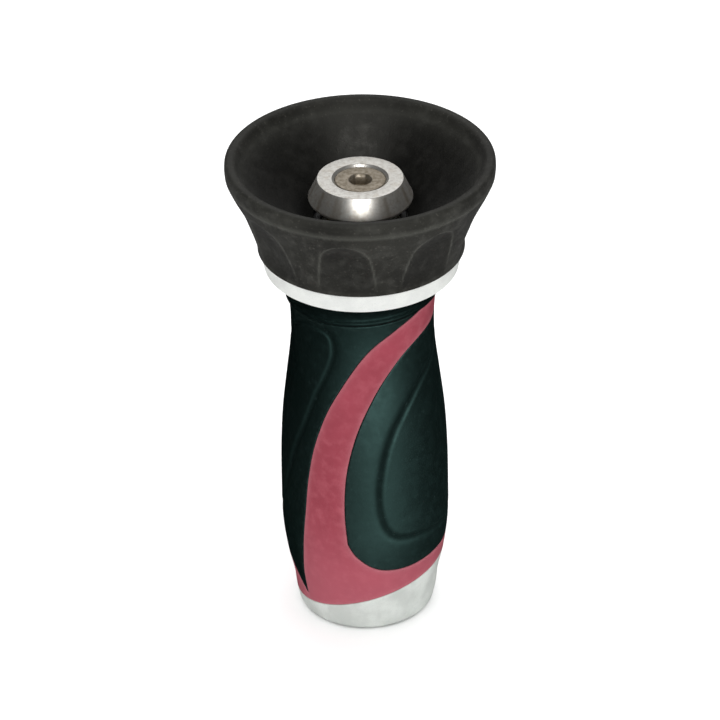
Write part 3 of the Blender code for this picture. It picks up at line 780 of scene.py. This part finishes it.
def bumper_rubber():
    shader = Shader("bumper_rubber", Specular_Tint=(1, 0.98, 0.9, 1), Sheen_Weight=0.045)
    broad, patches, specks = shader.noise(20, 3), shader.noise(3.5, 6), shader.noise(0.7, 2)
    base = shader.mix(shader.ramp(broad, 0.35, 0.65), rgb(34, 34, 31), rgb(45, 45, 41))
    base = shader.mix(shader.ramp(patches, 0.45, 0.72, 0, 0.45), base, rgb(66, 66, 62))
    base = shader.mix(shader.ramp(specks, 0.6, 0.75, 0, 0.45), base, rgb(90, 88, 82))
    # Painted shade: the bowl is painted darker near its line and below the lip, where it lies
    # deep; it is also smoother than the wall
    bowl_r = shader.math('MULTIPLY_ADD', shader.height(), BOWL_SLOPE, BOWL_SHIFT * MM)
    past_bowl = shader.math('SUBTRACT', shader.radius(), bowl_r)
    bowl = shader.math('MULTIPLY', shader.ramp(past_bowl, 1.5 * MM, 5 * MM, 1, 0),
                       shader.ramp(shader.height(), 137 * MM, 142 * MM, 1, 0))
    base = shader.mix(shader.math('MULTIPLY', bowl, 0.75), base, rgb(12, 12, 11))
    # Painted shade: darker inside each flute
    flute = shader.ramp(shader.kept("wear"), 0, -1, 0, 0.4)
    base = shader.mix(flute, base, rgb(24, 24, 23))
    # Pale lines along the flutes and the lip: partly rubbed rubber, partly a painted highlight
    shader.color(shader.mix(shader.math('MULTIPLY', shader.kept("wear"), 0.4), base,
                            rgb(92, 93, 87)))
    shader.roughness(shader.math('SUBTRACT', shader.ramp(patches, 0.3, 0.7, 0.55, 0.7),
                                 shader.math('MULTIPLY', bowl, 0.17)))
    # No shine down in the throat
    shine = shader.ramp(shader.radius(), 16 * MM, 19.5 * MM, 0, 0.4)
    shader.put(shader.main.inputs["Specular IOR Level"], shine)
    shader.bump(shader.noise(0.4, 3), 0.03)
    shader.bump(patches, 0.08)
    return shader.material


def blasted_aluminium(name, light, dark, throat_r=0):
    """Bead-blasted aluminium, with painted shade: near black inside throat_r mm of the axis."""
    shader = Shader(name, Metallic=0.15)
    broad, patches, grain = shader.noise(9, 4), shader.noise(1.6, 5), shader.noise(0.3, 2)
    base = shader.mix(shader.ramp(broad, 0.38, 0.66), dark, light)
    base = shader.mix(shader.ramp(patches, 0.5, 0.8, 0, 0.5), base, dark)
    base = shader.mix(shader.ramp(grain, 0.5, 0.75, 0, 0.25), base, rgb(190, 194, 190))
    if throat_r:
        # Painted shade: near black down in the throat
        throat_shade = shader.ramp(shader.radius(), throat_r * MM, (throat_r + 0.6) * MM, 1, 0)
        base = shader.mix(throat_shade, base, rgb(7, 7, 7))
    shader.color(base)
    shader.roughness(shader.ramp(broad, 0.3, 0.7, 0.42, 0.56))
    shader.bump(shader.noise(0.22, 2), 0.012)
    shader.bump(shader.noise(0.25, 2, place=shader.rings()), 0.01)
    return shader.material


def turned_aluminium():
    shader = Shader("turned_aluminium", Metallic=0.8)
    marks, patches = shader.noise(0.12, 3, place=shader.rings()), shader.noise(1.1, 4)
    smears, grain = shader.noise(2.6, 3), shader.noise(0.2, 2)
    base = shader.mix(shader.ramp(patches, 0.4, 0.7), rgb(226, 224, 218), rgb(208, 204, 197))
    base = shader.mix(shader.ramp(smears, 0.5, 0.7, 0, 0.35), base, rgb(190, 178, 160))
    base = shader.mix(shader.ramp(grain, 0.5, 0.7, 0, 0.2), base, rgb(170, 166, 158))
    # Painted reflection: brownish streaks that run down the cone
    streaks = shader.ramp(shader.noise(3.2, 1, place=shader.turn_length(14)), 0.42, 0.75)
    streaks = shader.math('MULTIPLY', streaks, shader.ramp(shader.radius(), 11.9 * MM, 12.2 * MM))
    shader.color(shader.mix(shader.math('MULTIPLY', streaks, 0.6), base, rgb(150, 134, 112)))
    shader.roughness(shader.math('ADD', shader.ramp(patches, 0.3, 0.75, 0.28, 0.38),
                                 shader.ramp(grain, 0.4, 0.65, 0, 0.12)))
    shader.bump(marks, 0.006)
    return shader.material


def plain(name, first, second, roughness, patch, grain=None, turning=False, **values):
    """Soft patches that vary between two colours and two roughnesses.

    patch is their size and detail, and grain the size and depth of a fine relief, in mm.
    """
    shader = Shader(name, **values)
    patches = shader.noise(*patch)
    shader.color(shader.mix(shader.ramp(patches, 0.35, 0.7), first, second))
    shader.roughness(shader.ramp(patches, 0.3, 0.7, *roughness))
    if grain:
        size, depth = grain
        shader.bump(shader.noise(size, 2, place=shader.rings() if turning else None), depth)
    return shader.material


# Turned pieces -------------------------------------------------------------------------------

THREAD_MINOR_R, THREAD_DEPTH, THREAD_PITCH = 12.4, 1.25, 25.4 / 11.5
THREAD_END, SEAT_TOP, SEAT_R = 10.9, 13.6, 13.9
MOUTH_R, FOOT_ROUND = 13.4, 2.2


def thread_r(angle, height):
    """Radius of the hose thread's wall at a turn angle and height, fading out at both ends."""
    phase = (height / THREAD_PITCH - angle / 360) % 1
    ridge = abs(2 * phase - 1)
    depth = THREAD_DEPTH * min(1, max(0, (ridge - 0.08) / 0.84))
    return THREAD_MINOR_R + depth * min(1, max(0, (THREAD_END - height) / 0.8))


def barrel_outline(angle):
    shelf = base_line(angle) - SEAM / 2
    shelf_r, foot_r = float(grip_r(shelf)), float(grip_r(FOOT_ROUND))
    thread = [(max(thread_r(angle, z), MOUTH_R - z), z)
              for z in np.linspace(0.25, THREAD_END, 66)]
    bore = rounded([(THREAD_MINOR_R, THREAD_END), (SEAT_R, THREAD_END, 0.2),
                    (SEAT_R, SEAT_TOP, 0.2), (WATERWAY_R, SEAT_TOP, 0.3),
                    (WATERWAY_R, WATERWAY_TOP), (UPPER_BORE_R, WATERWAY_TOP, 0.2),
                    (UPPER_BORE_R, SNAP_LOW), (SNAP_R, SNAP_LOW), (SNAP_R, SNAP_TOP),
                    (UPPER_BORE_R, SNAP_TOP), (UPPER_BORE_R, NECK_TOP, 0.3),
                    (NECK_R, NECK_TOP, 0.4), (NECK_R, ORING_TOP, 0.1), (ORING_R, ORING_TOP),
                    (ORING_R, ORING_LOW), (NECK_R, ORING_LOW, 0.1), (NECK_R, shelf),
                    (shelf_r, shelf)], 3)[1:-1]
    lip = [(shelf_r - 0.2, shelf), (shelf_r - 0.06, shelf - 0.04), (shelf_r, shelf - 0.18)]
    wall = [(float(grip_r(z)), z) for z in np.linspace(shelf - 0.5, FOOT_ROUND, 16)]
    foot = [(foot_r - FOOT_ROUND * 0.75 * (1 - sin(t)), FOOT_ROUND * (1 - cos(t)))
            for t in np.linspace(pi / 2, 0, 10)[1:]]
    return thread + bore + lip + wall + foot + [(MOUTH_R + 0.2, 0.0), (MOUTH_R, 0.02)]


def make_barrel(material):
    stand_for(turned("barrel_body", barrel_outline, material), "barrel")


def collar_outline(angle):
    low = float(collar_line(angle)) + SEAM / 2
    step, top = SLEEVE_LOW - 0.25, COLLAR_TOP
    bead = [(20.7, low), (21.05, low + 0.05), (21.2, low + 0.2), (21.3, low + 0.45),
            (21.33, low + 0.7), (21.28, low + 0.95), (21.1, low + 1.2), (20.85, low + 1.4),
            (20.72, low + 1.65), (20.7, low + 2)]
    flare = [(20.9, 106), (21.3, 107.1), (21.9, 108.2), (22.8, 109.3), (23.5, 109.95),
             (23.6, top - 0.2), (23.45, top)]
    return ([(19.0, top), (19.0, step), (SLEEVE_BORE_R, step), (SLEEVE_BORE_R, low)]
            + bead + flare)


def make_collar(material):
    stand_for(turned("grip_collar_skin", collar_outline, material), "grip_collar")


def make_sleeve(material):
    outline = rounded([
        (SLEEVE_BORE_R, SLEEVE_LOW, 0.2), (SLEEVE_BORE_R, GUIDE_LOW), (GUIDE_R, GUIDE_LOW),
        (GUIDE_R, GUIDE_TOP), (SLEEVE_BORE_R, GUIDE_TOP), (SLEEVE_BORE_R, THROAT_LOW, 0.3),
        (THROAT_R, THROAT_LOW, 0.3), (THROAT_R, THROAT_RIM, 0.4), (12.4, THROAT_RIM, 0.15),
        (12.6, SLEEVE_TOP),
        (24.2, SLEEVE_TOP, 0.4), (24.2, RING_TOP), (27.95, RING_TOP, 0.3),
        (26.75, RING_LOW, 0.35), (18.6, RING_LOW, 0.3), (18.6, SLEEVE_LOW, 0.3)], 5)
    sleeve = turned("head_sleeve_body", outline, material)
    hole = [(0, 12), (PIN_HOLE_R, 12), (PIN_HOLE_R, 40), (0, 40)]
    for angle in PIN_ANGLES.values():
        drill = turned("drill", hole, material, 36)
        lay_radially(drill, angle)
        cut_away(sleeve, drill)
    stand_for(sleeve, "head_sleeve")


def lay_radially(obj, angle):
    """Lay a piece that was turned round Z along a radius, at the height of the pins."""
    obj.location = polar(0, 0, PIN_HEIGHT)
    obj.rotation_euler = (radians(90), 0, radians(angle))
    bpy.context.view_layer.update()


def make_pins(material):
    def outline(angle):
        side = hexagon_r(2.0, angle)
        body = rounded([(0, PIN_TIP_END), (PIN_TIP_R, PIN_TIP_END, 0.3),
                        (PIN_TIP_R, PIN_TIP_TOP), (PIN_R, PIN_TIP_TOP + 0.2),
                        (PIN_R, PIN_HEAD_END, 0.2)], 4)
        return body + [(side + 0.25, PIN_HEAD_END), (side, PIN_HEAD_END - 0.25),
                       (side, PIN_HEAD_END - 2.4), (0, PIN_HEAD_END - 2.6)]
    for name, angle in PIN_ANGLES.items():
        pin = turned(f"{name}_body", outline, material, 48)
        lay_radially(pin, angle)
        stand_for(pin, name)


BAFFLE_UNDER, BOSS_FOOT, BOSS_R = 131.2, 127.0, 6.6
RECESS_R, RECESS_FLOOR = 7.08, 134.1
SEAL_IN, SEAL_OUT, SEAL_TOP = 10.5, 13.1, 132.7     # groove of the seal under the baffle
SCREW_RAISE = 0.9              # how far the screw's head stands above the CAD's


def make_baffle(material):
    outline = rounded([
        (RECESS_R, BAFFLE_TOP - 0.6, 0.2), (7.8, BAFFLE_TOP, 0.3), (11.8, BAFFLE_TOP, 0.2),
        (BAFFLE_RIM_R, 132.0, 0.3), (BAFFLE_RIM_R - 0.25, BAFFLE_UNDER, 0.2),
        (SEAL_OUT, BAFFLE_UNDER), (SEAL_OUT, SEAL_TOP), (SEAL_IN, SEAL_TOP),
        (SEAL_IN, BAFFLE_UNDER), (BOSS_R, BAFFLE_UNDER, 0.9), (BOSS_R, BOSS_FOOT, 0.4),
        (4.3, BOSS_FOOT), (4.3, 131.8), (3.3, 131.8), (3.3, 133.2), (6.0, 133.2),
        (6.0, RECESS_FLOOR), (RECESS_R, RECESS_FLOOR)], 6)
    stand_for(turned("baffle_body", outline, material, 256), "baffle")


def make_screw(material):
    def outline(angle):
        side = hexagon_r(4.8, angle)
        top = SCREW_TOP + SCREW_RAISE
        socket = [(0, 133.6), (side * 0.4, 133.75), (side, RECESS_FLOOR), (side, top - 0.75),
                  (side + 0.1, top - 0.62)]
        rim = [(3.15, top - 0.12), (3.3, top - 0.02), (3.5, top)]
        head = rounded([(3.5, top), (SCREW_HEAD_R, top, 0.35), (SCREW_HEAD_R, 134.4, 0.2),
                        (3.0, 134.4, 0.2), (3.0, SCREW_FOOT, 0.5), (0, SCREW_FOOT)], 4)[1:]
        return socket + rim + head
    stand_for(turned("baffle_screw_body", outline, material, 144), "baffle_screw")


# Bumper --------------------------------------------------------------------------------------

BUMPER_WALL = [                # (height, radius) between the flutes, from the foot to the lip
    (116.8, 28.6), (118.4, 28.7), (120, 29.0), (123.5, 30.05), (127, 31.25), (130.5, 32.5),
    (133.5, 33.9), (135.8, 35.1), (138.9, 36.5)]
FLUTE_DEPTHS = [(116.8, 0.1), (118.4, 0.5), (120, 0.85), (123.5, 1.05), (127, 1.0), (130.5, 0.85),
                (133.5, 0.5), (135.8, 0.06), (136, 0)]
FLUTE_HALF_WIDTHS = [          # (height, degrees): arches that narrow towards the lip
    (116.8, 15.8), (120, 15.2), (123.5, 14.4), (127, 13.3), (130.5, 11.9), (132.3, 10.5),
    (133.8, 8.6), (135, 5.8), (135.6, 3.4), (136, 0.4)]
WALL_STEP, WALL_TOP, WALL_MM_PER_DEGREE = 0.25, 138.6, 0.55
FLUTE_TOP, LIP_EDGE, LIP_CREASE_R = 136.2, 139.6, 32.4    # where the rubber is pale: partly rubbed, partly a painted highlight

WALL_HEIGHTS = np.arange(BUMPER_FOOT + WALL_STEP, WALL_TOP, WALL_STEP)
WALL_ROWS = list(zip(WALL_HEIGHTS, smooth_value(BUMPER_WALL, WALL_HEIGHTS),
                     smooth_value(FLUTE_DEPTHS, WALL_HEIGHTS),
                     smooth_value(FLUTE_HALF_WIDTHS, WALL_HEIGHTS)))
BUMPER_LIP = rounded([
    (36.1, 138.35), (LIP_R - 0.12, LIP_EDGE, 0.5), (LIP_R + 0.04, 141.4, 6.0),
    (LIP_R - 0.1, TOTAL_HEIGHT + 0.2, 2.1), (33.9, TOTAL_HEIGHT - 0.05, 1.8), (32.6, 140.6, 5.0),
    (25.5, 134.65, 2.0), (17.5, 127.9, 3.0), (15.2, 126.25, 1.5), (12.9, 126.2, 0.25),
    (12.9, SLEEVE_TOP + 0.3)], 9)


def off_flute(angle):
    """Turn from the middle of the nearest flute, in degrees."""
    pitch = 360 / FLUTES
    return abs((angle - FLUTE_PHASE + pitch / 2) % pitch - pitch / 2)


def bumper_outline(angle):
    off = off_flute(angle)
    foot = [(24.5, BUMPER_FOOT), (28.35, BUMPER_FOOT), (28.52, BUMPER_FOOT + 0.06)]
    wall = [(wall_r - max(depth, 0) * max(1 - (off / half_width)**2, 0), z)
            for z, wall_r, depth, half_width in WALL_ROWS]
    return foot + wall + BUMPER_LIP[1:] + [(24.5, SLEEVE_TOP + 0.3)]


def bumper_wear_and_light(angle, radius, height):
    """How pale an edge is, partly rubbed and partly a painted highlight, or below zero how dark a
    flute is painted, as painted shade.

    The pale lines run along the flutes, the lip's lower edge and the crease inside the lip.
    """
    pale = 0.0
    if BUMPER_FOOT + 1 < height < FLUTE_TOP and radius > 27:
        half_width = np.interp(height, *np.transpose(FLUTE_HALF_WIDTHS))
        gap = (off_flute(angle) - half_width) * WALL_MM_PER_DEGREE
        pale = exp(-(gap / 0.35)**2) * min(1, (height - BUMPER_FOOT) / 8)
        if gap < 0:
            pale -= min(1, -gap / 1.5)
    if radius > 35:
        pale = max(pale, 0.8 * exp(-((height - LIP_EDGE) / 0.45)**2))
    if radius > 29 and height > 138:
        pale = max(pale, 0.4 * exp(-((radius - LIP_CREASE_R) / 0.8)**2))
    return pale


def make_bumper(material):
    bumper = turned("head_bumper_skin", bumper_outline, material, 384, FLUTE_PHASE, bumper_wear_and_light)
    stand_for(bumper, "head_bumper")


# Build ---------------------------------------------------------------------------------------

rubber = grip_rubber()
ring_metal = blasted_aluminium("ring_aluminium", rgb(238, 240, 236), rgb(227, 229, 226), 13)
base_metal = blasted_aluminium("base_aluminium", rgb(224, 229, 224), rgb(205, 210, 205))
steel = plain("screw_steel", rgb(168, 158, 142), rgb(140, 129, 112), (0.36, 0.52), (0.9, 5),
              (0.1, 0.008), turning=True, Metallic=0.75)
make_grip(rubber, red_plastic())
make_collar(rubber)
make_barrel(base_metal)
make_sleeve(ring_metal)
make_pins(steel)
make_baffle(turned_aluminium())
make_screw(steel)
make_bumper(bumper_rubber())

brass = plain("brass", rgb(200, 160, 96), rgb(180, 140, 80), (0.3, 0.45), (1.2, 5),
              (0.15, 0.008), turning=True, Metallic=1.0)
seal = plain("seal_rubber", rgb(28, 28, 28), rgb(40, 40, 39), (0.38, 0.55), (1.5, 4),
             (0.25, 0.01), Specular_IOR_Level=0.45)
acetal = plain("acetal", rgb(226, 223, 214), rgb(212, 208, 198), (0.35, 0.5), (2.0, 3),
               Subsurface_Weight=0.05)
CAD_FINISHES = {
    "hose_washer": seal, "barrel_oring": seal, "baffle_seal": seal,
    "spider": brass, "stem": brass,
    "stem_nut": steel, "screw_lock_washer": steel, "spider_retaining_ring": steel,
    "guide_ring": acetal}
for node, finish in CAD_FINISHES.items():
    for slot in frame["nodes"][node].material_slots:
        slot.material = finish


# Stage, in metres and watts ------------------------------------------------------------------

def make_floor():
    bm = bmesh.new()
    bmesh.ops.create_grid(bm, x_segments=1, y_segments=1, size=3.0)
    shader = Shader("pale_floor", Roughness=0.9, Specular_IOR_Level=0.1)
    shader.main.inputs["Base Color"].default_value = (0.93, 0.93, 0.93, 1)
    floor = add_object("floor", bm, shader.material)
    floor.location.z = -0.0002
    floor.visible_glossy = False


def make_light(name, azimuth, elevation, distance, size, power, target, receivers=None):
    """An area light that faces a point on the axis at a target height."""
    data = bpy.data.lights.new(name, 'AREA')
    data.shape = 'RECTANGLE'
    data.size, data.size_y = size
    data.energy = power
    light = bpy.data.objects.new(name, data)
    turn, rise = radians(azimuth), radians(elevation)
    aim = Vector((0, 0, target))
    light.location = aim + Vector((sin(turn) * cos(rise), -cos(turn) * cos(rise),
                                   sin(rise))) * distance
    light.rotation_euler = (light.location - aim).to_track_quat('Z', 'Y').to_euler()
    bpy.context.scene.collection.objects.link(light)
    if receivers:
        light.light_linking.receiver_collection = receivers
    return light


def only(name, *pieces):
    """A collection that limits a light to the pieces named."""
    group = bpy.data.collections.new(name)
    for piece in pieces:
        group.objects.link(bpy.data.objects[piece])
    return group


def make_highlight(*settings):
    """A light that only shows in reflections."""
    make_light(*settings).visible_diffuse = False


def make_camera():
    """Level with the photographer's view: 32.5 degrees up, and a long lens."""
    elevation, distance, target = radians(32.5), 1.122, 0.0725
    data = bpy.data.cameras.new("camera")
    data.sensor_width, data.lens, data.clip_end = 36, 200, 20
    pixel = data.sensor_width / data.lens / 720
    camera = bpy.data.objects.new("camera", data)
    camera.location = (0, -distance * cos(elevation), target + distance * sin(elevation))
    look_down = Matrix.Rotation(pi / 2 - elevation, 4, 'X')
    lift = Matrix.Rotation(19.4 * pixel, 4, 'X')
    swing = Matrix.Rotation(3.1 * pixel, 4, 'Y')
    roll = Matrix.Rotation(radians(-0.9), 4, 'Z')
    camera.matrix_world = Matrix.Translation(camera.location) @ look_down @ lift @ swing @ roll
    bpy.context.scene.collection.objects.link(camera)
    bpy.context.scene.camera = camera


def make_world():
    world = bpy.data.worlds.new("studio")
    bpy.context.scene.world = world
    world.use_nodes = True
    tree = world.node_tree
    background = tree.nodes["Background"]
    background.inputs["Color"].default_value = (1, 1, 1, 1)
    background.inputs["Strength"].default_value = 0.6
    world.cycles_visibility.glossy = False


make_floor()
floor_only = only("floor_only", "floor")
baffle_only = only("baffle_only", "baffle_body")
grip_only = only("grip_only", "grip_panel_front_skin", "grip_panel_rear_skin",
                 "grip_collar_skin")
make_light("front", 0, 25, 1.6, (1.2, 0.8), 5, 0.1)
make_light("low_front", 12, 6, 1.6, (1.6, 0.3), 4, 0.06).visible_glossy = False
make_light("behind", 176, 42, 1.6, (1.4, 0.9), 5.5, 0.12)
make_highlight("bowl_sheen", 2, 66, 1.6, (0.6, 0.4), 6, 0.13)
make_highlight("baffle_shine", 2, 21, 1.6, (0.75, 0.5), 20, 0.13, baffle_only)
make_highlight("grip_sheen", 17, 1, 1.6, (1.2, 0.14), 19, 0.055, grip_only)
make_light("floor_fill", 0, 90, 2.2, (3.5, 3.5), 60, 0.0, floor_only)
make_world()
make_camera()
bpy.context.scene.view_settings.view_transform = 'Standard'
